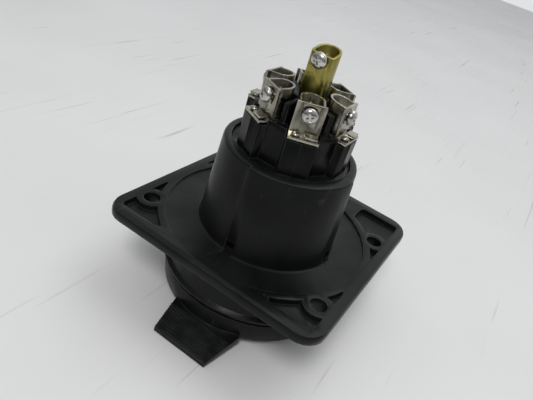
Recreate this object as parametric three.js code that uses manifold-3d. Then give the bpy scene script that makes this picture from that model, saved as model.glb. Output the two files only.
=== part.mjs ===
// Seven-way round trailer socket, the vehicle's half, with its clamp terminals at the back.
// Millimetres. +Z runs along the barrel's axis and points out of the terminals, and -Y points at the
// lid's thumb tab. The origin is the centre of the lid's flat outer face, which the socket stands on.
import * as THREE from "three";
import { mergeVertices } from "three/addons/utils/BufferGeometryUtils.js";
import Module from "manifold-3d";

const wasm = await Module();
wasm.setup();

// ---- Driving dimensions ----

const gap = 0.3; // between separate pieces that touch
const through = 1; // how far a cutter runs past the face it opens
const overlap = 0.5; // how far two shapes of one piece run into each other
const roundSides = 48; // flats round a large circle
const smallSides = 16; // and round a small one
const screwSides = 20;
const tinySides = 8;
const midway = 1 - Math.SQRT1_2; // share of a rounded edge's radius that its middle stands in by

// Square flange: its back face seats on the vehicle's bracket.
const flange = {
  back: 27.5,
  thickness: 2.8,
  halfWidth: 37.7,
  tabSide: -35.2,
  hingeSide: 41.6,
  corner: 7,
  recessRadius: 33.1,
  recessDepth: 0.8,
  edgeBevel: 0.9,
};
flange.front = flange.back - flange.thickness;
flange.recessFloor = flange.back - flange.recessDepth;

// Four bolt holes on a rectangle, each in a round boss between two blind pockets.
const bolt = { x: 31, y: 21.3, radius: 2.7, bossRadius: 4.7, bossDepth: 1.6 }; // depth below the flange
const pocket = { floor: flange.front + 0.9, ringRadius: 35.4, side: 34.3, tabSide: -31, hingeSide: 37.6 };
pocket.corner = 1.6;
pocket.innerX = 19.5;
pocket.innerY = 10;

// Rear barrel: a slightly tapered tube with a raised panel on one quarter.
const barrel = { top: 55.3, baseRadius: 22.4, topRadius: 20.7, fillet: 1.1, rimBevel: 0.9 };
barrel.shoulder = 38.7; // the cavity ends here and the narrower bore begins
barrel.bore = 18.4;
const panel = { from: -93, to: -1, proud: 1 };
const notch = { width: 3.2, top: 31, depth: 1.4, inset: 4.1 }; // inset in degrees from the panel's edge

// Front collar, the plug cavity's inner tube, and the groove between them.
const mouth = 11.2;
const cavityRadius = 19.5;
const collar = { outer: 30.2, inner: 27.4, tubeOuter: 22.2, grooveEnd: 24.5, ribs: 6, ribWidth: 1.6 };
const bead = { radius: 31.3, height: 2.4, bevel: 0.8 };
collar.ribSetback = 3; // from the mouth back to the ribs' front ends
const keyway = { width: 5, depth: 1.5, end: 25 };

// Lid hinge, on the +Y side.
const hinge = { y: 35, z: 14, pinRadius: 1.4, earRadius: 3.4, knuckleRadius: 3.2 };
hinge.earIn = 9.5;
hinge.earOut = 12.5;
hinge.rootY = 27; // where the ears leave the collar
hinge.rootZ = 13;
hinge.knuckleIn = 6;
hinge.knuckleOut = hinge.earIn - gap;
hinge.armLow = 3.7; // the lid's arms, from its wall out to the knuckles
hinge.armHigh = 10.3;
hinge.armIn = 28.4;
hinge.armKneeIn = 31.7;
hinge.armKneeOut = 34;
hinge.webOut = 33.2;
hinge.webHigh = 8.2;
hinge.pinEnd = 13.4; // plain end, and a head on the other
hinge.pinHeadRadius = 2.2;
hinge.pinHeadLength = 1;
const spring = { wireRadius: 0.45, coilRadius: 2.65, turns: 5, halfLength: 5.1, steps: 60 };
spring.legShare = 0.1; // share of the wire's path in each leg
spring.fixedLeg = 9;
spring.lidLeg = 7.6;
spring.lidLean = 1.6;

// Spring lid: a shallow cap with a ribbed thumb tab.
const lid = { top: 10.5, bevel: 3.3, faceRadius: 25.5, edgeRadius: 29.8, rimRadius: 30.6, floor: 2.7 };
lid.rimInner = 27.9;
lid.wallFoot = { radius: 27.6, z: 3.9 }; // inside the rim, where its wall meets the sloping floor
lid.floorEdge = 24.5;
const seat = { height: 8, ribInner: 20.8, ribOuter: 22.4, postRadius: 4 };
const tab = { rootHalf: 12.2, tipHalf: 9.6, rootY: -27, tipY: -40.2, rootTop: 4.6, tipTop: 1.7, shift: 2.2 };
tab.tipUnder = 0.3; // height of its underside at the tip
tab.rootUnder = 2.2; // and where it meets the lid
const grip = { ribs: 10, pitch: 0.92, height: 0.4, base: 0.36, crest: 0.16, start: 0.3 }; // half widths
const gasket = { outer: 25, thickness: 2, lipInner: 19.8, lipOuter: 22, lip: 0.6, lipSlope: 0.4 };

// Contact carrier: the lobed black moulding that stands out of the barrel.
const carrier = {
  front: 36.5,
  flangeRadius: 19.2,
  bodyRadius: 18.1,
  bodyTop: 54.6,
  top: 64.9,
  facet: 14.4,
  lobe: 16.6,
  lobeWidth: 9.2,
  hubRadius: 5.6,
  hubTop: 72.7,
  finWidth: 1.5,
  finEnd: 12.4,
  finTop: 72.2,
  lobeCorner: 0.8,
  wallHeight: 1.7,
  wallInner: 11.2,
};

// Six clamp terminals, one on each lobe.
const terminalCount = 6;
const firstTerminal = -60; // degrees about +Z, from +X
const sheet = 0.7;
const plateHalf = 4.1; // half the width of a clamp's flat face, which stands a little wider than its tube
const foot = { bottom: carrier.top + gap, thickness: 0.9, inner: 9.9, outer: 16.5, halfWidth: 4.3 };
foot.top = foot.bottom + foot.thickness;
const clamp = { face: 13, width: 6.9, back: 6.2, top: 75.4, screwZ: 71.7, cornerRadius: 0.9, slope: 0.1 };
clamp.innerCorner = 0.3;
clamp.cornerSteps = 2;
clamp.backSteps = 10;
const rivet = { x: 14.9, y: -2.2, headRadius: 1.3, headHeight: 0.7, shankRadius: 0.75, length: 8 };
rivet.crownRadius = 1.1;
rivet.crownHeight = 0.42;
rivet.sides = 10;
const blade = { x: 14.7, thickness: 0.8, width: 6, tip: 21, neckY: 1.95, neckWidth: 2.6 };
blade.chamfer = 1.2;
blade.tabIn = 13.9; // the tab folded over onto the foot
blade.tabOut = 16.4;
blade.tabWidth = 3.5;
blade.tabThickness = 0.6;

// Centre terminal, taller and turned a little away from its neighbours.
const centre = { angle: -90, shift: 1.2, face: 3.3, width: 7.2, back: -3.9, top: 86.4, screwZ: 83.4 };
centre.slope = 0.22;
centre.pinRadius = 2.4;
centre.pinTip = 16;
centre.neckRadius = 0.9;
centre.noseRadius = 1.4;
centre.noseLength = 1.4;
centre.rivetHeight = 0.5; // of the pin's upset end inside the clamp
centre.bottom = carrier.hubTop + gap;

// Pan-head clamp screws.
const screw = { headRadius: 2.25, headHeight: 1.6, headGap: 0.5, shankRadius: 1.3, reach: 3.6, recess: 0.6 };
screw.sideHeight = 0.6; // of the head's straight side, below its dome
screw.domeSteps = 4;
screw.pointRadius = 1; // the shank's end, past a short chamfer
screw.pointLength = 0.4;
screw.crossSpan = 1.1;
screw.crossHalf = 0.26;
screw.turned = 20; // degrees the cross stands at

// ---- Materials ----

const plastic = new THREE.MeshStandardMaterial({ color: 0x1c1d1d, roughness: 0.5, metalness: 0 });
const carrierPlastic = new THREE.MeshStandardMaterial({ color: 0x121313, roughness: 0.42, metalness: 0 });
const rubber = new THREE.MeshStandardMaterial({ color: 0x151515, roughness: 0.85, metalness: 0 });
const nickel = new THREE.MeshStandardMaterial({ color: 0xb9b5a6, roughness: 0.28, metalness: 1 });
const brass = new THREE.MeshStandardMaterial({ color: 0x9a8a3c, roughness: 0.34, metalness: 1 });
const steel = new THREE.MeshStandardMaterial({ color: 0xa9abad, roughness: 0.32, metalness: 1 });

// ---- Shape helpers ----

// A closed geometry as a manifold-3d solid.
function solid(geometry) {
  geometry.deleteAttribute("normal");
  geometry.deleteAttribute("uv");
  const merged = mergeVertices(geometry, 1e-4);
  const index = merged.index.array;
  const triangles = [];
  for (let i = 0; i < index.length; i += 3) {
    const [a, b, c] = [index[i], index[i + 1], index[i + 2]];
    if (a !== b && b !== c && c !== a) triangles.push(a, b, c);
  }
  const data = {
    numProp: 3,
    vertProperties: merged.attributes.position.array,
    triVerts: new Uint32Array(triangles),
  };
  return new wasm.Manifold(new wasm.Mesh(data));
}

// A manifold-3d solid as a three.js geometry.
function geometryOf(shape) {
  const data = shape.getMesh();
  const geometry = new THREE.BufferGeometry();
  geometry.setAttribute("position", new THREE.BufferAttribute(new Float32Array(data.vertProperties), 3));
  geometry.setIndex(new THREE.BufferAttribute(new Uint32Array(data.triVerts), 1));
  const flat = geometry.toNonIndexed();
  flat.computeVertexNormals();
  return flat;
}

function union(...shapes) {
  return shapes.reduce((sum, shape) => sum.add(shape));
}

// A solid of revolution about Z from [radius, z] points that start and end on the axis.
function turned(profile, segments = roundSides) {
  const points = profile.map(([radius, z]) => new THREE.Vector2(radius, z));
  return solid(new THREE.LatheGeometry(points, segments).rotateX(Math.PI / 2));
}

// A disc or a plain cylinder about Z.
function disc(radius, low, high, segments = roundSides) {
  return turned([[0, low], [radius, low], [radius, high], [0, high]], segments);
}

// A flat outline in XY raised from low to high.
function prism(outline, low, high, curveSegments = 8) {
  const options = { depth: high - low, bevelEnabled: false, curveSegments };
  const geometry = new THREE.ExtrudeGeometry(outline, options);
  return solid(geometry.translate(0, 0, low));
}

function polygon(points) {
  return new THREE.Shape(points.map(([x, y]) => new THREE.Vector2(x, y)));
}

function box(x0, x1, y0, y1, z0, z1) {
  return prism(polygon([[x0, y0], [x1, y0], [x1, y1], [x0, y1]]), z0, z1);
}

// A rectangle with rounded corners.
function roundedRectangle(x0, x1, y0, y1, radius) {
  const outline = new THREE.Shape();
  outline.absarc(x1 - radius, y1 - radius, radius, 0, Math.PI / 2);
  outline.absarc(x0 + radius, y1 - radius, radius, Math.PI / 2, Math.PI);
  outline.absarc(x0 + radius, y0 + radius, radius, Math.PI, 1.5 * Math.PI);
  outline.absarc(x1 - radius, y0 + radius, radius, 1.5 * Math.PI, 2 * Math.PI);
  return outline;
}

// An upright pin or hole at a place in XY.
function post(x, y, radius, low, high, segments = smallSides) {
  return disc(radius, low, high, segments).translate([x, y, 0]);
}

// A cylinder along +X, from x0 to x1, at a height.
function rod(x0, x1, y, z, radius, segments = smallSides) {
  return disc(radius, x0, x1, segments).rotate([0, 90, 0]).translate([0, y, z]);
}

// An outline in the YZ plane, carried along X from x0 to x1.
function slab(points, x0, x1) {
  return prism(polygon(points), x0, x1).rotate([90, 0, 0]).rotate([0, 0, 90]);
}

function turn(shape, degrees) {
  return shape.rotate([0, 0, degrees]);
}

function radians(degrees) {
  return (degrees * Math.PI) / 180;
}

// ---- Housing ----

function cornerPockets(sideX, sideY) {
  const endY = sideY < 0 ? -pocket.tabSide : pocket.hingeSide;
  const outline = roundedRectangle(pocket.innerX, pocket.side, pocket.innerY, endY, pocket.corner);
  const block = prism(outline, pocket.floor, flange.back + through, 2);
  const keep = union(
    disc(pocket.ringRadius, flange.front, flange.back + 2 * through),
    post(bolt.x, bolt.y, bolt.bossRadius, flange.front, flange.back + 2 * through),
  );
  return block.subtract(keep).scale([sideX, sideY, 1]);
}

function flangePlate() {
  const { halfWidth, tabSide, hingeSide, corner, front, back } = flange;
  const outline = (inset) => roundedRectangle(
    -halfWidth + inset,
    halfWidth - inset,
    tabSide + inset,
    hingeSide - inset,
    corner - inset,
  );
  const bevel = flange.edgeBevel;
  let plate = wasm.Manifold.hull([
    prism(outline(0), front, back - bevel, 3),
    prism(outline(bevel / 2), front, back, 3),
  ]);
  plate = plate.subtract(disc(flange.recessRadius, flange.recessFloor, back + through));
  for (const sideX of [-1, 1]) {
    for (const sideY of [-1, 1]) {
      const [x, y] = [sideX * bolt.x, sideY * bolt.y];
      const low = front - bolt.bossDepth;
      const boss = post(x, y, bolt.bossRadius, low, front + overlap);
      const hole = post(x, y, bolt.radius, low - through, back + through);
      plate = plate.subtract(cornerPockets(sideX, sideY)).add(boss).subtract(hole);
    }
  }
  return plate;
}

function barrelOutside(extra) {
  const floor = flange.recessFloor;
  const base = barrel.baseRadius + extra;
  const top = barrel.topRadius + extra;
  return turned([
    [0, floor - overlap],
    [base + barrel.fillet, floor - overlap],
    [base + barrel.fillet, floor],
    [base + midway * barrel.fillet, floor + midway * barrel.fillet],
    [base, floor + barrel.fillet],
    [top, barrel.top - barrel.rimBevel],
    [top - midway * barrel.rimBevel, barrel.top - midway * barrel.rimBevel],
    [barrel.topRadius - barrel.rimBevel, barrel.top],
    [0, barrel.top],
  ]);
}

// The wedge of space between two directions, used to keep one stretch of a ring.
function wedge(from, to, radius, low, high) {
  return prism(polygon([[0, 0], ...arc(0, 0, radius, from, to, 4)]), low, high);
}

function barrelShell() {
  const raised = barrelOutside(panel.proud).intersect(
    wedge(panel.from, panel.to, 2 * barrel.baseRadius, flange.front, barrel.top + through),
  );
  let shell = union(barrelOutside(0), raised);
  for (const angle of [panel.from + notch.inset, panel.to - notch.inset]) {
    const half = notch.width / 2;
    const inside = barrel.baseRadius - notch.depth;
    const cutter = box(inside, 2 * barrel.baseRadius, -half, half, flange.recessFloor, notch.top);
    shell = shell.subtract(turn(cutter, angle));
  }
  return shell;
}

function collarShell() {
  const shell = turned([
    [0, mouth],
    [bead.radius - bead.bevel, mouth],
    [bead.radius, mouth + bead.bevel],
    [bead.radius, mouth + bead.height - bead.bevel],
    [collar.outer, mouth + bead.height],
    [collar.outer, flange.front + overlap],
    [0, flange.front + overlap],
  ]);
  let groove = disc(collar.inner, mouth - through, collar.grooveEnd).subtract(
    disc(collar.tubeOuter, mouth - 2 * through, collar.grooveEnd + through),
  );
  for (let i = 0; i < collar.ribs; i += 1) {
    const half = collar.ribWidth / 2;
    const [ribIn, ribOut] = [collar.tubeOuter - overlap, collar.inner + overlap];
    const rib = box(ribIn, ribOut, -half, half, mouth + collar.ribSetback, collar.grooveEnd + through);
    groove = groove.subtract(turn(rib, (360 / collar.ribs) * (i + 0.5)));
  }
  return shell.subtract(groove);
}

function hingeEars() {
  const ear = (side) => {
    const [x0, x1] = side < 0 ? [-hinge.earOut, -hinge.earIn] : [hinge.earIn, hinge.earOut];
    const outline = [
      [hinge.rootY, hinge.rootZ],
      [hinge.y - hinge.earRadius, hinge.z - overlap],
      [hinge.y + hinge.earRadius, hinge.z],
      [hinge.y + hinge.earRadius, flange.front + overlap],
      [hinge.rootY, flange.front + overlap],
    ];
    return union(slab(outline, x0, x1), rod(x0, x1, hinge.y, hinge.z, hinge.earRadius));
  };
  return union(ear(-1), ear(1));
}

function housing() {
  const outside = union(flangePlate(), barrelShell(), collarShell(), hingeEars());
  const cavity = disc(cavityRadius, mouth - through, barrel.shoulder);
  const bore = disc(barrel.bore, barrel.shoulder - through, barrel.top + through);
  const half = keyway.width / 2;
  const key = box(-half, half, -cavityRadius - keyway.depth, 0, mouth - through, keyway.end);
  const pinHole = rod(-hinge.earOut - through, hinge.earOut + through, hinge.y, hinge.z, hinge.pinRadius + gap);
  return outside.subtract(union(cavity, bore, key, pinHole));
}

// ---- Contact carrier ----

function terminalAngle(index) {
  return firstTerminal + (360 / terminalCount) * index;
}

// Short walls that stand between the terminals' feet.
function carrierWalls(facets) {
  const low = carrier.top - overlap;
  const high = carrier.top + carrier.wallHeight;
  let walls = prism(polygon(facets), low, high);
  walls = walls.subtract(disc(carrier.wallInner, low - through, high + through, screwSides));
  const half = foot.halfWidth + gap;
  for (let i = 0; i < terminalCount; i += 1) {
    const clearance = box(0, 2 * carrier.lobe, -half, half, low - through, high + through);
    walls = walls.subtract(turn(clearance, terminalAngle(i)));
  }
  return walls;
}

function carrierTower() {
  const facets = [];
  const cornerRadius = carrier.facet / Math.cos(Math.PI / terminalCount);
  for (let i = 0; i < terminalCount; i += 1) {
    const angle = radians(terminalAngle(i));
    facets.push([cornerRadius * Math.cos(angle), cornerRadius * Math.sin(angle)]);
  }
  let tower = prism(polygon(facets), carrier.bodyTop - overlap, carrier.top);
  for (let i = 0; i < terminalCount; i += 1) {
    const half = carrier.lobeWidth / 2;
    const outline = roundedRectangle(0, carrier.lobe, -half, half, carrier.lobeCorner);
    const lobe = prism(outline, carrier.bodyTop - overlap, carrier.top, 1);
    const halfFin = carrier.finWidth / 2;
    const fin = box(0, carrier.finEnd, -halfFin, halfFin, carrier.top - overlap, carrier.finTop);
    tower = union(tower, turn(lobe, terminalAngle(i)), turn(fin, terminalAngle(i + 0.5)));
  }
  tower = tower.add(carrierWalls(facets));
  return union(tower, disc(carrier.hubRadius, carrier.top - overlap, carrier.hubTop, screwSides));
}

function contactCarrier() {
  const body = turned([
    [0, carrier.front],
    [carrier.flangeRadius, carrier.front],
    [carrier.flangeRadius, barrel.shoulder - gap],
    [carrier.bodyRadius, barrel.shoulder - gap],
    [carrier.bodyRadius, carrier.bodyTop],
    [0, carrier.bodyTop],
  ]);
  let shape = union(body, carrierTower());
  const pinBore = disc(centre.pinRadius + gap, carrier.front - through, carrier.hubTop + through, smallSides);
  shape = shape.subtract(pinBore);
  for (let i = 0; i < terminalCount; i += 1) {
    const slotX = blade.thickness / 2 + gap;
    const slotY = blade.neckWidth / 2 + gap;
    const slot = box(-slotX, slotX, -slotY, slotY, carrier.front - through, carrier.top + through);
    const holeEnd = carrier.top - rivet.length - gap;
    const hole = post(rivet.x, rivet.y, rivet.shankRadius + gap, holeEnd, carrier.top + through, tinySides);
    const cutter = union(slot.translate([blade.x, blade.neckY, 0]), hole);
    shape = shape.subtract(turn(cutter, terminalAngle(i)));
  }
  return shape;
}

// ---- Terminals, each drawn with its clamp face towards +X ----

// Points along an arc in XY, both ends included.
function arc(x, y, radius, from, to, steps) {
  const points = [];
  for (let i = 0; i <= steps; i += 1) {
    const angle = radians(from + ((to - from) * i) / steps);
    points.push([x + radius * Math.cos(angle), y + radius * Math.sin(angle)]);
  }
  return points;
}

// The D-shaped outline of a clamp: a flat face, two straight sides and a round back.
function clampOutline(face, back, halfWidth, cornerRadius) {
  const cornerX = face - cornerRadius;
  const cornerY = halfWidth - cornerRadius;
  return polygon([
    ...arc(cornerX, -cornerY, cornerRadius, -90, 0, clamp.cornerSteps),
    ...arc(cornerX, cornerY, cornerRadius, 0, 90, clamp.cornerSteps),
    ...arc(back + halfWidth, 0, halfWidth, 90, 270, clamp.backSteps),
  ]);
}

function clampTube(size, low) {
  const half = size.width / 2;
  const outer = prism(clampOutline(size.face, size.back, half, clamp.cornerRadius), low, size.top);
  const innerOutline = clampOutline(size.face - sheet, size.back + sheet, half - sheet, clamp.innerCorner);
  const inner = prism(innerOutline, low + foot.thickness, size.top + through);
  return outer.subtract(inner);
}

// The flat face's own sheet with its top corners rounded.
function facePlate(size, halfWidth, low) {
  const corner = clamp.cornerRadius;
  const outline = roundedRectangle(-halfWidth, halfWidth, low - 2 * corner, size.top, corner);
  const plate = prism(outline, size.face - sheet, size.face, 2).rotate([90, 0, 0]).rotate([0, 0, 90]);
  return plate.subtract(box(0, 2 * size.face, -2 * halfWidth, 2 * halfWidth, low - 3 * corner, low));
}

// Trims a clamp's top so that its face ends a little lower than its back.
function trimTop(shape, size) {
  const drop = size.slope * (size.face - size.back);
  const far = 4;
  const above = slab([
    [size.back, size.top],
    [size.face + far, size.top - drop - size.slope * far],
    [size.face + far, size.top + far],
    [size.back, size.top + far],
  ], -2 * clamp.width, 2 * clamp.width);
  return shape.subtract(turn(above, -90));
}

function screwHole(size) {
  return rod(size.face - 2 * sheet, size.face + through, 0, size.screwZ, screw.shankRadius + gap);
}

function terminalClamp() {
  const plate = box(foot.inner, foot.outer, -foot.halfWidth, foot.halfWidth, foot.bottom, foot.top);
  const slotX = blade.thickness / 2 + gap;
  const slotY = blade.neckWidth / 2 + gap;
  const slot = box(-slotX, slotX, -slotY, slotY, foot.bottom - through, foot.top + through);
  const holeRadius = rivet.shankRadius + gap;
  const hole = post(rivet.x, rivet.y, holeRadius, foot.bottom - through, foot.top + through, tinySides);
  const cutters = union(slot.translate([blade.x, blade.neckY, 0]), hole, screwHole(clamp));
  const tube = union(clampTube(clamp, foot.bottom), facePlate(clamp, plateHalf, foot.bottom));
  return union(plate, trimTop(tube, clamp)).subtract(cutters);
}

// A contact tongue across the axis with its tip chamfered on both edges.
function bladeTongue(x0, x1) {
  const half = blade.width / 2;
  const top = carrier.front - gap;
  const narrow = half - blade.chamfer;
  const shoulder = blade.tip + blade.chamfer;
  const outline = [
    [-narrow, blade.tip],
    [narrow, blade.tip],
    [half, shoulder],
    [half, top],
    [-half, top],
    [-half, shoulder],
  ];
  return slab(outline, x0, x1);
}

function bladeContact() {
  const x0 = blade.x - blade.thickness / 2;
  const x1 = blade.x + blade.thickness / 2;
  const seatZ = foot.top + gap;
  const across = (halfWidth) => [blade.neckY - halfWidth, blade.neckY + halfWidth];
  const [neck0, neck1] = across(blade.neckWidth / 2);
  const [tab0, tab1] = across(blade.tabWidth / 2);
  const neck = box(x0, x1, neck0, neck1, carrier.front - gap - overlap, seatZ + overlap);
  const topTab = box(blade.tabIn, blade.tabOut, tab0, tab1, seatZ, seatZ + blade.tabThickness);
  return union(bladeTongue(x0, x1), neck, topTab);
}

function contactRivet() {
  const low = carrier.top - rivet.length;
  const seatZ = foot.top + gap;
  return turned([
    [0, low],
    [rivet.shankRadius, low],
    [rivet.shankRadius, seatZ],
    [rivet.headRadius, seatZ],
    [rivet.crownRadius, seatZ + rivet.crownHeight],
    [0, seatZ + rivet.headHeight],
  ], rivet.sides).translate([rivet.x, rivet.y, 0]);
}

// A pan-head screw with its head's underside at the origin and its shank along -X.
function clampScrew(wall) {
  const length = screw.headGap + wall + screw.reach;
  const dome = [];
  for (let i = 0; i < screw.domeSteps; i += 1) {
    const angle = (Math.PI / 2) * (i / screw.domeSteps);
    const rise = (screw.headHeight - screw.sideHeight) * Math.sin(angle);
    dome.push([screw.headRadius * Math.cos(angle), screw.sideHeight + rise]);
  }
  const body = turned([
    [0, -length],
    [screw.pointRadius, -length],
    [screw.shankRadius, -length + screw.pointLength],
    [screw.shankRadius, 0],
    [screw.headRadius, 0],
    ...dome,
    [0, screw.headHeight],
  ], screwSides);
  const span = screw.crossSpan;
  const arm = screw.crossHalf;
  const floor = screw.headHeight - screw.recess;
  const cross = union(
    box(-span, span, -arm, arm, floor, screw.headHeight + through),
    box(-arm, arm, -span, span, floor, screw.headHeight + through),
  );
  return turn(body.subtract(cross), screw.turned).rotate([0, 90, 0]);
}

function placedScrew(size) {
  return clampScrew(sheet).translate([size.face + screw.headGap, 0, size.screwZ]);
}

function centreClamp() {
  const { bottom, neckRadius } = centre;
  const pinHole = disc(neckRadius + gap, bottom - through, bottom + 2 * through, smallSides);
  const tube = trimTop(clampTube(centre, centre.bottom), centre).subtract(screwHole(centre));
  return tube.translate([0, centre.shift, 0]).subtract(pinHole);
}

function centrePin() {
  const neckTop = centre.bottom + foot.thickness + centre.rivetHeight;
  return turned([
    [0, centre.pinTip],
    [centre.noseRadius, centre.pinTip],
    [centre.pinRadius, centre.pinTip + centre.noseLength],
    [centre.pinRadius, carrier.hubTop],
    [centre.neckRadius, carrier.hubTop],
    [centre.neckRadius, neckTop],
    [0, neckTop],
  ], smallSides);
}

// ---- Lid and its hinge ----

function lidCap() {
  return turned([
    [0, 0],
    [lid.faceRadius, 0],
    [lid.edgeRadius, lid.bevel],
    [lid.rimRadius, lid.top],
    [lid.rimInner, lid.top],
    [lid.wallFoot.radius, lid.wallFoot.z],
    [lid.floorEdge, lid.floor],
    [seat.ribOuter, lid.floor],
    [seat.ribOuter, seat.height],
    [seat.ribInner, seat.height],
    [seat.ribInner, lid.floor],
    [seat.postRadius, lid.floor],
    [seat.postRadius, seat.height + gasket.thickness],
    [0, seat.height + gasket.thickness],
  ]);
}

function thumbTab() {
  const side = [
    [tab.rootY, tab.rootTop],
    [tab.tipY, tab.tipTop],
    [tab.tipY, tab.tipUnder],
    [tab.rootY, tab.rootUnder],
  ];
  const plan = polygon([
    [-tab.rootHalf, tab.rootY],
    [-tab.tipHalf, tab.tipY],
    [tab.tipHalf, tab.tipY],
    [tab.rootHalf, tab.rootY],
  ]);
  let plate = slab(side, -tab.rootHalf - through, tab.rootHalf + through);
  const slope = (tab.rootTop - tab.tipTop) / (tab.rootY - tab.tipY);
  for (let i = 0; i < grip.ribs; i += 1) {
    const y = tab.tipY + grip.start + grip.base + grip.pitch * i;
    const top = tab.tipTop + slope * (y - tab.tipY);
    const rib = slab([
      [y - grip.base, top - grip.height],
      [y + grip.base, top - grip.height],
      [y + grip.base, top],
      [y + grip.crest, top + grip.height],
      [y - grip.crest, top + grip.height],
      [y - grip.base, top],
    ], -tab.rootHalf, tab.rootHalf);
    plate = plate.add(rib);
  }
  return plate.intersect(prism(plan, -through, lid.top)).translate([tab.shift, 0, 0]);
}

function lidKnuckles() {
  const { y, z, knuckleRadius, knuckleIn, knuckleOut, armLow, armIn } = hinge;
  const arm = [
    [armIn, armLow],
    [hinge.armKneeOut, armLow],
    [y + knuckleRadius, z - through],
    [y + knuckleRadius, z],
    [y - knuckleRadius, z],
    [hinge.armKneeIn, hinge.armHigh],
    [armIn, hinge.armHigh],
  ];
  const knuckle = (x0, x1) => union(slab(arm, x0, x1), rod(x0, x1, y, z, knuckleRadius));
  const web = box(-knuckleOut, knuckleOut, armIn, hinge.webOut, armLow, hinge.webHigh);
  return union(knuckle(-knuckleOut, -knuckleIn), knuckle(knuckleIn, knuckleOut), web);
}

function springLid() {
  const pinHole = rod(-hinge.earIn, hinge.earIn, hinge.y, hinge.z, hinge.pinRadius + gap);
  return union(lidCap(), thumbTab(), lidKnuckles()).subtract(pinHole);
}

function lidGasket() {
  const low = seat.height + gap;
  const high = low + gasket.thickness;
  const ring = turned([
    [0, low],
    [gasket.outer, low],
    [gasket.outer, high],
    [gasket.lipOuter, high],
    [gasket.lipOuter - gasket.lipSlope, high + gasket.lip],
    [gasket.lipInner + gasket.lipSlope, high + gasket.lip],
    [gasket.lipInner, high],
    [0, high],
  ]);
  return ring.subtract(disc(seat.postRadius + gap, low - through, high + through));
}

function hingePin() {
  const headStart = hinge.earOut + gap;
  const shaft = rod(-hinge.pinEnd, headStart, hinge.y, hinge.z, hinge.pinRadius);
  return union(shaft, rod(headStart, headStart + hinge.pinHeadLength, hinge.y, hinge.z, hinge.pinHeadRadius));
}

// Torsion spring: one leg stands on the flange, the other presses the lid's web shut.
class SpringPath extends THREE.Curve {
  getPoint(t) {
    const { coilRadius, halfLength, turns, legShare, fixedLeg, lidLeg, lidLean } = spring;
    if (t < legShare) {
      return new THREE.Vector3(-halfLength, hinge.y - coilRadius, hinge.z + fixedLeg * (1 - t / legShare));
    }
    if (t > 1 - legShare) {
      const down = (t - 1 + legShare) / legShare;
      const y = hinge.y + coilRadius - lidLean * down * down;
      return new THREE.Vector3(halfLength, y, hinge.z - lidLeg * down);
    }
    const along = (t - legShare) / (1 - 2 * legShare);
    const angle = Math.PI + (turns - 0.5) * 2 * Math.PI * along;
    return new THREE.Vector3(
      -halfLength + 2 * halfLength * along,
      hinge.y + coilRadius * Math.cos(angle),
      hinge.z + coilRadius * Math.sin(angle),
    );
  }
}

function lidSpring() {
  const section = new THREE.Shape().absarc(0, 0, spring.wireRadius, 0, 2 * Math.PI);
  const options = { steps: spring.steps, extrudePath: new SpringPath(), curveSegments: 3 };
  return solid(new THREE.ExtrudeGeometry(section, options));
}

// ---- Assembly ----

const group = new THREE.Group();

function add(name, shape, material, angle = 0) {
  const mesh = new THREE.Mesh(geometryOf(shape), material.clone());
  mesh.name = name;
  mesh.rotation.z = radians(angle);
  group.add(mesh);
}

add("housing", housing(), plastic);
add("contact_carrier", contactCarrier(), carrierPlastic);
for (let i = 0; i < terminalCount; i += 1) {
  const angle = terminalAngle(i);
  const number = i + 1;
  add(`terminal_clamp_${number}`, terminalClamp(), nickel, angle);
  add(`blade_contact_${number}`, bladeContact(), nickel, angle);
  add(`contact_rivet_${number}`, contactRivet(), nickel, angle);
  add(`clamp_screw_${number}`, placedScrew(clamp), nickel, angle);
}
add("centre_clamp", centreClamp(), brass, centre.angle);
add("centre_pin", centrePin(), brass);
add("centre_screw", placedScrew(centre).translate([0, centre.shift, 0]), nickel, centre.angle);
add("lid", springLid(), plastic);
add("lid_gasket", lidGasket(), rubber);
add("hinge_pin", hingePin(), steel);
add("lid_spring", lidSpring(), steel);

export default group;
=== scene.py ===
"""Looks for a seven-way trailer socket, the vehicle's half, standing on its shut lid.

Metres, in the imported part's frame: +Z along the barrel's axis and out of the terminals, -Y towards the
lid's thumb tab, the origin in the lid's flat outer face.
"""

import math

import bpy
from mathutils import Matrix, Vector


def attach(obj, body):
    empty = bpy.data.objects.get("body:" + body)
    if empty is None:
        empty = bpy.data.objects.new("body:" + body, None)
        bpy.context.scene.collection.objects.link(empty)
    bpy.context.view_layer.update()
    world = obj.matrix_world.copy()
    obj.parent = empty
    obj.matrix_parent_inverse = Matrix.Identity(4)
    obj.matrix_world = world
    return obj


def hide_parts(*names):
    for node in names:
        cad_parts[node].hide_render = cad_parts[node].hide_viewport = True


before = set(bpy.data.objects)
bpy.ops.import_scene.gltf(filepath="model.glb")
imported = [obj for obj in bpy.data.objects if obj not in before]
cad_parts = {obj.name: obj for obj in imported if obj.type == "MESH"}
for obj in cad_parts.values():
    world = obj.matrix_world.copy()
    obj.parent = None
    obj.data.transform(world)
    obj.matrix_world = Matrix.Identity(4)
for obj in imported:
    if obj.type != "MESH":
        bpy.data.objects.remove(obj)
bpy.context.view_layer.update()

MM = 0.001

# ---- Shared dimensions, as the part has them ----

TERMINALS = 6
HINGE = Vector((0, 35, 14)) * MM
SPRING_RADIUS = 2.65 * MM
SPRING_WIRE = 0.45 * MM
SPRING_HALF = 5.1 * MM
SPRING_TURNS = 4.5
SPRING_FIXED_LEG = 9 * MM
SPRING_LID_LEG = 7.6 * MM
SPRING_LID_LEAN = 1.6 * MM
LEG_STEPS = 12
COIL_STEPS = 150
WIRE_SIDES = 12

# ---- Surfaces: darker and lighter colour, how round each kind of edge is ----

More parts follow.
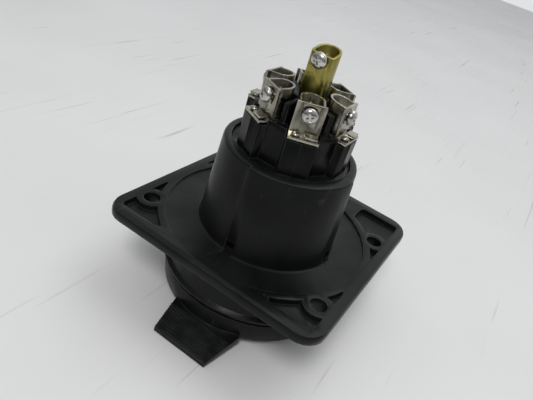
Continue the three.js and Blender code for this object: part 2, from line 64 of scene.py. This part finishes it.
SHELL_BLACK = ((0.0038, 0.0045, 0.0041), (0.0086, 0.0097, 0.009))
CARRIER_BLACK = ((0.0024, 0.0028, 0.0026), (0.005, 0.0056, 0.0053))
RUBBER_BLACK = ((0.014, 0.014, 0.014), (0.03, 0.03, 0.029))
SCUFF_GREY = (0.05, 0.052, 0.05)
# Paler edge colour: partly real wear, partly a painted highlight where edges catch the light.
WORN_AND_HIGHLIGHT_GREY = (0.05, 0.054, 0.051)
DUST_GREY = (0.22, 0.22, 0.21)
NICKEL = ((0.26, 0.25, 0.2), (0.46, 0.44, 0.37))
STEEL = ((0.42, 0.41, 0.39), (0.64, 0.63, 0.6))
BRASS = ((0.3, 0.265, 0.07), (0.47, 0.425, 0.13))
FLOOR_GREY = ((0.72, 0.72, 0.715), (0.77, 0.77, 0.765))
SCRATCH_GREY = (0.42, 0.41, 0.4)
SPECK_BROWN = (0.35, 0.34, 0.32)
SCRATCH_TURNS = (0.5, 1.3, 2.4)
PLASTIC_SPECULAR = 0.16
TARNISH_SHARE = 0.35
# Width of the paler edges, which are partly wear and partly a painted highlight.
WORN_AND_HIGHLIGHT_REACH = 0.4 * MM
SHARP_ANGLE = math.radians(35)
WELD_REACH = 0.001 * MM
SHELL_EDGE = 0.28 * MM
CARRIER_EDGE = 0.22 * MM
LID_EDGE = 0.07 * MM
CLAMP_EDGE = 0.14 * MM
CENTRE_EDGE = 0.16 * MM
SHEET_EDGE = 0.1 * MM
SCREW_EDGE = 0.12 * MM
SOFT_EDGE = 0.15 * MM

# ---- Camera and light ----

CAMERA_PLACE = Vector((51.05, -124.47, 119.81)) * MM
CAMERA_TURN = (55.809, -15.793, 31.760)
CAMERA_LENS = 33.544
CAMERA_SHIFT = (-0.02469, 0.01587)
SENSOR_WIDTH = 36
NEAREST_SEEN = 0.01
FLOOR_HALF = 1.5
KEY_PLACE = (0.085, -0.4, 0.6)
KEY_TARGET = (0, 0, 0.02)
KEY_SIZE = 0.2
KEY_POWER = 1.7
KEY_COLOUR = (1, 0.995, 0.985)
CEILING_PLACE = (0.1, 0.4, 0.85)
CEILING_TARGET = (0, 0, 0.03)
CEILING_SIZE = 0.7
CEILING_POWER = 2.0
CEILING_COLOUR = (0.98, 0.99, 1)
HORIZON = (0.1, 0.1, 0.1)
OVERHEAD = (0.5, 0.505, 0.51)
BACKDROP = (0.75, 0.76, 0.78)


# ---- Node helpers ----


def new_material(name):
    """An empty Principled material: (material, its tree, the shader, object coordinates)."""
    material = bpy.data.materials.new(name)
    material.use_nodes = True
    tree = material.node_tree
    shader = tree.nodes["Principled BSDF"]
    coordinates = tree.nodes.new("ShaderNodeTexCoord").outputs["Object"]
    return material, tree, shader, coordinates


def noise(tree, coordinates, scale, detail=3.0, stretch=(1, 1, 1), turn=(0, 0, 0)):
    """A noise value in 0..1, with features about 1/scale metres across."""
    place = tree.nodes.new("ShaderNodeMapping")
    place.inputs["Scale"].default_value = stretch
    place.inputs["Rotation"].default_value = turn
    tree.links.new(coordinates, place.inputs["Vector"])
    texture = tree.nodes.new("ShaderNodeTexNoise")
    texture.inputs["Scale"].default_value = scale
    texture.inputs["Detail"].default_value = detail
    tree.links.new(place.outputs["Vector"], texture.inputs["Vector"])
    return texture.outputs["Fac"]


def ramp(tree, value, low, high, start=0.0, end=1.0):
    """The value in low..high, mapped to start..end and held there outside."""
    node = tree.nodes.new("ShaderNodeMapRange")
    node.inputs["From Min"].default_value = low
    node.inputs["From Max"].default_value = high
    node.inputs["To Min"].default_value = start
    node.inputs["To Max"].default_value = end
    tree.links.new(value, node.inputs["Value"])
    return node.outputs["Result"]


def blend_colour(tree, amount, first, second):
    """A colour between two, each a colour or another node's output."""
    node = tree.nodes.new("ShaderNodeMix")
    node.data_type = "RGBA"
    tree.links.new(amount, node.inputs["Factor"])
    for socket, colour in ((node.inputs["A"], first), (node.inputs["B"], second)):
        if isinstance(colour, bpy.types.NodeSocket):
            tree.links.new(colour, socket)
        else:
            socket.default_value = (*colour, 1)
    return node.outputs["Result"]


def product(tree, first, second):
    node = tree.nodes.new("ShaderNodeMath")
    node.operation = "MULTIPLY"
    tree.links.new(first, node.inputs[0])
    tree.links.new(second, node.inputs[1])
    return node.outputs["Value"]


def worn_and_highlight_edge(tree, reach):
    """1 on sharp outer and inner edges, down to 0 about `reach` metres away from them; marks the edges
    painted paler, partly as wear and partly as a painted highlight.
    """
    rounded = tree.nodes.new("ShaderNodeBevel")
    rounded.samples = 4
    rounded.inputs["Radius"].default_value = reach
    face = tree.nodes.new("ShaderNodeNewGeometry")
    match = tree.nodes.new("ShaderNodeVectorMath")
    match.operation = "DOT_PRODUCT"
    tree.links.new(rounded.outputs["Normal"], match.inputs[0])
    tree.links.new(face.outputs["Normal"], match.inputs[1])
    return ramp(tree, match.outputs["Value"], 0.99, 0.9)


def bump(tree, shader, height, strength, depth, below=None):
    """Adds a bump to the shader's normal and returns the bump's own normal."""
    node = tree.nodes.new("ShaderNodeBump")
    node.inputs["Strength"].default_value = strength
    node.inputs["Distance"].default_value = depth
    tree.links.new(height, node.inputs["Height"])
    if below is not None:
        tree.links.new(below, node.inputs["Normal"])
    tree.links.new(node.outputs["Normal"], shader.inputs["Normal"])
    return node.outputs["Normal"]


# ---- Materials ----


def moulded_plastic(name, colours, gloss):
    """Black moulded plastic: cloudy colour, fine grain, paler edges that are partly wear and partly a
    painted highlight, thin scuffs and dust specks.
    """
    material, tree, shader, place = new_material(name)
    cloud = noise(tree, place, 55, 5)
    colour = blend_colour(tree, ramp(tree, cloud, 0.38, 0.64), *colours)
    streak = noise(tree, place, 420, 6, stretch=(1, 0.07, 0.35), turn=(0.5, 0.2, 1.1))
    where = noise(tree, place, 45, 2)
    streak = product(tree, ramp(tree, streak, 0.62, 0.7), ramp(tree, where, 0.52, 0.62, 0, 0.35))
    colour = blend_colour(tree, streak, colour, SCUFF_GREY)
    # Paler edges, broken up by noise: partly wear, partly a painted highlight along the rim and other
    # edges.
    rubbed_and_highlight = ramp(tree, noise(tree, place, 260, 4), 0.36, 0.58, 0.15, 0.9)
    colour = blend_colour(tree, product(tree, worn_and_highlight_edge(tree, WORN_AND_HIGHLIGHT_REACH), rubbed_and_highlight), colour, WORN_AND_HIGHLIGHT_GREY)
    dust = ramp(tree, noise(tree, place, 1700, 1), 0.77, 0.83, 0, 0.3)
    colour = blend_colour(tree, dust, colour, DUST_GREY)
    tree.links.new(colour, shader.inputs["Base Color"])
    polish = noise(tree, place, 120, 5)
    tree.links.new(ramp(tree, polish, 0.3, 0.7, gloss - 0.05, gloss + 0.08), shader.inputs["Roughness"])
    shader.inputs["Specular IOR Level"].default_value = PLASTIC_SPECULAR
    grain = bump(tree, shader, noise(tree, place, 4200, 2), 0.3, 0.00004)
    bump(tree, shader, noise(tree, place, 80, 2), 0.1, 0.0003, below=grain)
    return material


def plated_metal(name, colours, gloss):
    """Bright plating: soft warm and cool patches, a few dulled spots, faint draw marks along the axis."""
    material, tree, shader, place = new_material(name)
    patch = noise(tree, place, 170, 3)
    colour = blend_colour(tree, ramp(tree, patch, 0.35, 0.65), *colours)
    spots = noise(tree, place, 420, 3)
    tarnish = tuple(TARNISH_SHARE * channel for channel in colours[0])
    colour = blend_colour(tree, ramp(tree, spots, 0.58, 0.74, 0, 0.7), colour, tarnish)
    tree.links.new(colour, shader.inputs["Base Color"])
    shader.inputs["Metallic"].default_value = 1
    polish = noise(tree, place, 300, 3)
    tree.links.new(ramp(tree, polish, 0.3, 0.7, gloss - 0.05, gloss + 0.1), shader.inputs["Roughness"])
    marks = bump(tree, shader, noise(tree, place, 900, 2, stretch=(1, 1, 0.08)), 0.1, 0.00003)
    bump(tree, shader, noise(tree, place, 150, 1), 0.15, 0.0002, below=marks)
    return material


def moulded_rubber():
    material, tree, shader, place = new_material("gasket_rubber")
    cloud = noise(tree, place, 150, 3)
    colour = blend_colour(tree, ramp(tree, cloud, 0.3, 0.7), *RUBBER_BLACK)
    tree.links.new(colour, shader.inputs["Base Color"])
    tree.links.new(ramp(tree, cloud, 0.3, 0.7, 0.75, 0.9), shader.inputs["Roughness"])
    bump(tree, shader, noise(tree, place, 2500, 2), 0.3, 0.00006)
    return material


def floor_paint():
    """Pale smooth board with faint scratches and a few dark specks."""
    material, tree, shader, place = new_material("pale_floor")
    cloud = noise(tree, place, 9, 4)
    colour = blend_colour(tree, ramp(tree, cloud, 0.3, 0.7), *FLOOR_GREY)
    where = ramp(tree, noise(tree, place, 14, 2), 0.48, 0.6)
    for turn in SCRATCH_TURNS:
        scratch = noise(tree, place, 330, 3, stretch=(1, 0.03, 1), turn=(0, 0, turn))
        mark = product(tree, ramp(tree, scratch, 0.66, 0.71, 0, 0.6), where)
        colour = blend_colour(tree, mark, colour, SCRATCH_GREY)
    speck = noise(tree, place, 420, 1)
    colour = blend_colour(tree, ramp(tree, speck, 0.79, 0.84, 0, 0.4), colour, SPECK_BROWN)
    tree.links.new(colour, shader.inputs["Base Color"])
    tree.links.new(ramp(tree, scratch, 0.3, 0.7, 0.42, 0.6), shader.inputs["Roughness"])
    bump(tree, shader, noise(tree, place, 700, 3), 0.05, 0.0001)
    return material


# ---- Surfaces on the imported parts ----


def dress(name, material, edge):
    """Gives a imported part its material, rounded edges and smooth shading."""
    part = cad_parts[name]
    part.data.materials.clear()
    part.data.materials.append(material)
    for face in part.data.polygons:
        face.use_smooth = True
    weld = part.modifiers.new("weld", "WELD")
    weld.merge_threshold = WELD_REACH
    rounding = part.modifiers.new("edges", "BEVEL")
    rounding.width = edge
    rounding.segments = 2
    rounding.limit_method = "ANGLE"
    rounding.angle_limit = SHARP_ANGLE
    rounding.harden_normals = True
    rounding.use_clamp_overlap = True


def dress_all():
    shell = moulded_plastic("shell_plastic", SHELL_BLACK, 0.32)
    carrier = moulded_plastic("carrier_plastic", CARRIER_BLACK, 0.26)
    nickel = plated_metal("nickel_plate", NICKEL, 0.2)
    steel = plated_metal("screw_steel", STEEL, 0.2)
    brass = plated_metal("brass", BRASS, 0.27)
    rubber = moulded_rubber()
    dress("housing", shell, SHELL_EDGE)
    dress("lid", shell, LID_EDGE)
    dress("contact_carrier", carrier, CARRIER_EDGE)
    dress("lid_gasket", rubber, SOFT_EDGE)
    dress("hinge_pin", steel, SHEET_EDGE)
    make_spring(steel)
    dress("centre_clamp", brass, CENTRE_EDGE)
    dress("centre_pin", brass, SOFT_EDGE)
    dress("centre_screw", steel, SCREW_EDGE)
    for number in range(1, TERMINALS + 1):
        dress(f"terminal_clamp_{number}", nickel, CLAMP_EDGE)
        dress(f"blade_contact_{number}", nickel, SHEET_EDGE)
        dress(f"contact_rivet_{number}", nickel, SHEET_EDGE)
        dress(f"clamp_screw_{number}", steel, SCREW_EDGE)


# ---- The lid's spring, as bent wire ----


def spring_line():
    """Points along the wire: a leg up to the flange, the coil round the hinge pin, a leg on the lid."""
    points = []
    for step in range(LEG_STEPS + 1):
        rise = SPRING_FIXED_LEG * (1 - step / LEG_STEPS)
        points.append(HINGE + Vector((-SPRING_HALF, -SPRING_RADIUS, rise)))
    for step in range(1, COIL_STEPS):
        share = step / COIL_STEPS
        angle = math.pi + SPRING_TURNS * 2 * math.pi * share
        across = -SPRING_HALF + 2 * SPRING_HALF * share
        turned = SPRING_RADIUS * Vector((0, math.cos(angle), math.sin(angle)))
        points.append(HINGE + Vector((across, 0, 0)) + turned)
    for step in range(LEG_STEPS + 1):
        down = step / LEG_STEPS
        lean = SPRING_LID_LEAN * down * down
        points.append(HINGE + Vector((SPRING_HALF, SPRING_RADIUS - lean, -SPRING_LID_LEG * down)))
    return points


def tube(name, line, radius, material, sides=WIRE_SIDES):
    """A round wire along a line, closed at both ends."""
    corners = []
    faces = []
    side = Vector((1, 0, 0))
    for index, point in enumerate(line):
        ahead = line[min(index + 1, len(line) - 1)] - line[max(index - 1, 0)]
        ahead.normalize()
        side = (side - ahead * side.dot(ahead)).normalized()
        up = ahead.cross(side)
        for corner in range(sides):
            angle = 2 * math.pi * corner / sides
            corners.append(point + radius * (math.cos(angle) * side + math.sin(angle) * up))
    for ring in range(len(line) - 1):
        for corner in range(sides):
            first = ring * sides + corner
            second = ring * sides + (corner + 1) % sides
            faces.append((first, second, second + sides, first + sides))
    last = (len(line) - 1) * sides
    faces.append(tuple(range(sides - 1, -1, -1)))
    faces.append(tuple(range(last, last + sides)))
    mesh = bpy.data.meshes.new(name)
    mesh.from_pydata(corners, [], faces)
    mesh.materials.append(material)
    for face in mesh.polygons:
        face.use_smooth = len(face.vertices) == 4
    piece = bpy.data.objects.new(name, mesh)
    bpy.context.scene.collection.objects.link(piece)
    return piece


def make_spring(material):
    wire = tube("spring_wire", spring_line(), SPRING_WIRE, material)
    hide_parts("lid_spring")
    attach(wire, "socket")


# ---- Floor, lights and camera ----


def make_floor():
    half = FLOOR_HALF
    mesh = bpy.data.meshes.new("floor")
    corners = [(-half, -half, 0), (half, -half, 0), (half, half, 0), (-half, half, 0)]
    mesh.from_pydata(corners, [], [(0, 1, 2, 3)])
    mesh.materials.append(floor_paint())
    floor = bpy.data.objects.new("floor", mesh)
    bpy.context.scene.collection.objects.link(floor)


def soft_light(name, place, target, size, power, colour):
    data = bpy.data.lights.new(name, "AREA")
    data.shape = "DISK"
    data.size = size
    data.energy = power
    data.color = colour
    light = bpy.data.objects.new(name, data)
    light.location = place
    light.rotation_euler = (Vector(target) - Vector(place)).to_track_quat("-Z", "Y").to_euler()
    bpy.context.scene.collection.objects.link(light)


def make_world():
    """Soft light from above, darker at the horizon and brightest on the hinge side."""
    world = bpy.data.worlds.new("room")
    world.use_nodes = True
    tree = world.node_tree
    direction = tree.nodes.new("ShaderNodeTexCoord").outputs["Generated"]
    split = tree.nodes.new("ShaderNodeSeparateXYZ")
    tree.links.new(direction, split.inputs["Vector"])
    above = blend_colour(tree, ramp(tree, split.outputs["Z"], 0.05, 0.7), HORIZON, OVERHEAD)
    colour = blend_colour(tree, ramp(tree, split.outputs["Y"], -0.1, 0.9), above, BACKDROP)
    tree.links.new(colour, tree.nodes["Background"].inputs["Color"])
    bpy.context.scene.world = world


def make_camera():
    data = bpy.data.cameras.new("camera")
    data.sensor_width = SENSOR_WIDTH
    data.lens = CAMERA_LENS
    data.shift_x, data.shift_y = CAMERA_SHIFT
    data.clip_start = NEAREST_SEEN
    camera = bpy.data.objects.new("camera", data)
    camera.location = CAMERA_PLACE
    camera.rotation_euler = [math.radians(angle) for angle in CAMERA_TURN]
    bpy.context.scene.collection.objects.link(camera)
    bpy.context.scene.camera = camera


dress_all()
make_floor()
make_world()
soft_light("key", KEY_PLACE, KEY_TARGET, KEY_SIZE, KEY_POWER, KEY_COLOUR)
soft_light("ceiling", CEILING_PLACE, CEILING_TARGET, CEILING_SIZE, CEILING_POWER, CEILING_COLOUR)
make_camera()
bpy.context.scene.view_settings.view_transform = "Standard"
